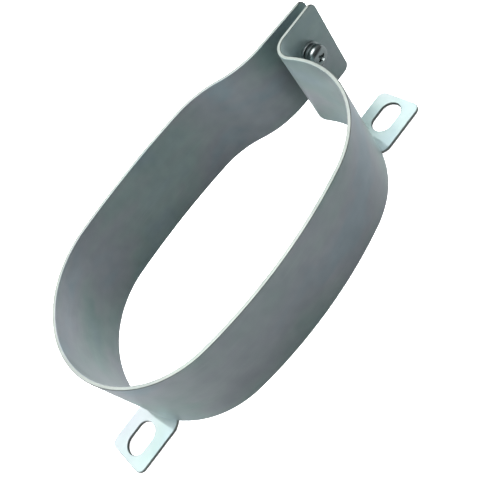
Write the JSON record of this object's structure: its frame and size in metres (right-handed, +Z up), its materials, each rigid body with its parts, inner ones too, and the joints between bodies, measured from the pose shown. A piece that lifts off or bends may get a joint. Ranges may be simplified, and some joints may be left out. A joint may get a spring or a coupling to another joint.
{
  "type": "oval strap clamp",
  "caption": "Oval strap clamp of zinc-plated steel strip with slotted mounting feet, drawn closed round an oval can or duct by a screw and nut through its ears.",
  "frame": {"origin": "under the middle of the whole clamp, on the plane that the feet stand on", "axes": "+X along the oval towards the ears, +Y across it towards the side that the far ear comes from, +Z up from the feet"},
  "size_m": [0.1764, 0.0858, 0.0422],
  "materials": {
    "zinc_strip": "blue-white zinc plate, satin, with faint iridescent blotches and bright cut edges",
    "zinc_screw": "bright zinc plate, smooth",
    "spring_steel": "plated spring steel, slightly darker",
    "zinc_washer": "bright zinc plate, stamped",
    "zinc_nut": "bright zinc plate, pressed"
  },
  "bodies": {
    "strap": {"oval_strap": "zinc_strip"},
    "screw": {"clamp_screw": "zinc_screw", "spring_washer": "spring_steel"},
    "washer": {"flat_washer": "zinc_washer"},
    "nut": {"clamp_nut": "zinc_nut"}
  },
  "joints": [
    {"name": "screw_turn", "type": "hinge", "parent": "strap", "child": "screw", "pos_m": [0.076, 0.01625, 0.0264], "axis": [0, -1, 0], "range_deg": [0, 2160.5]},
    {"name": "nut_travel", "type": "slide", "parent": "strap", "child": "nut", "axis": [0, 1, 0], "range_m": [0, 0.0048]},
    {"name": "washer_spin", "type": "hinge", "parent": "strap", "child": "washer", "pos_m": [0.076, 0.01835, 0.0264], "axis": [0, -1, 0], "continuous": true}
  ],
  "couplings": [
    {"joint": "screw_turn", "follows": "nut_travel", "rad_per_m": 7854}
  ]
}
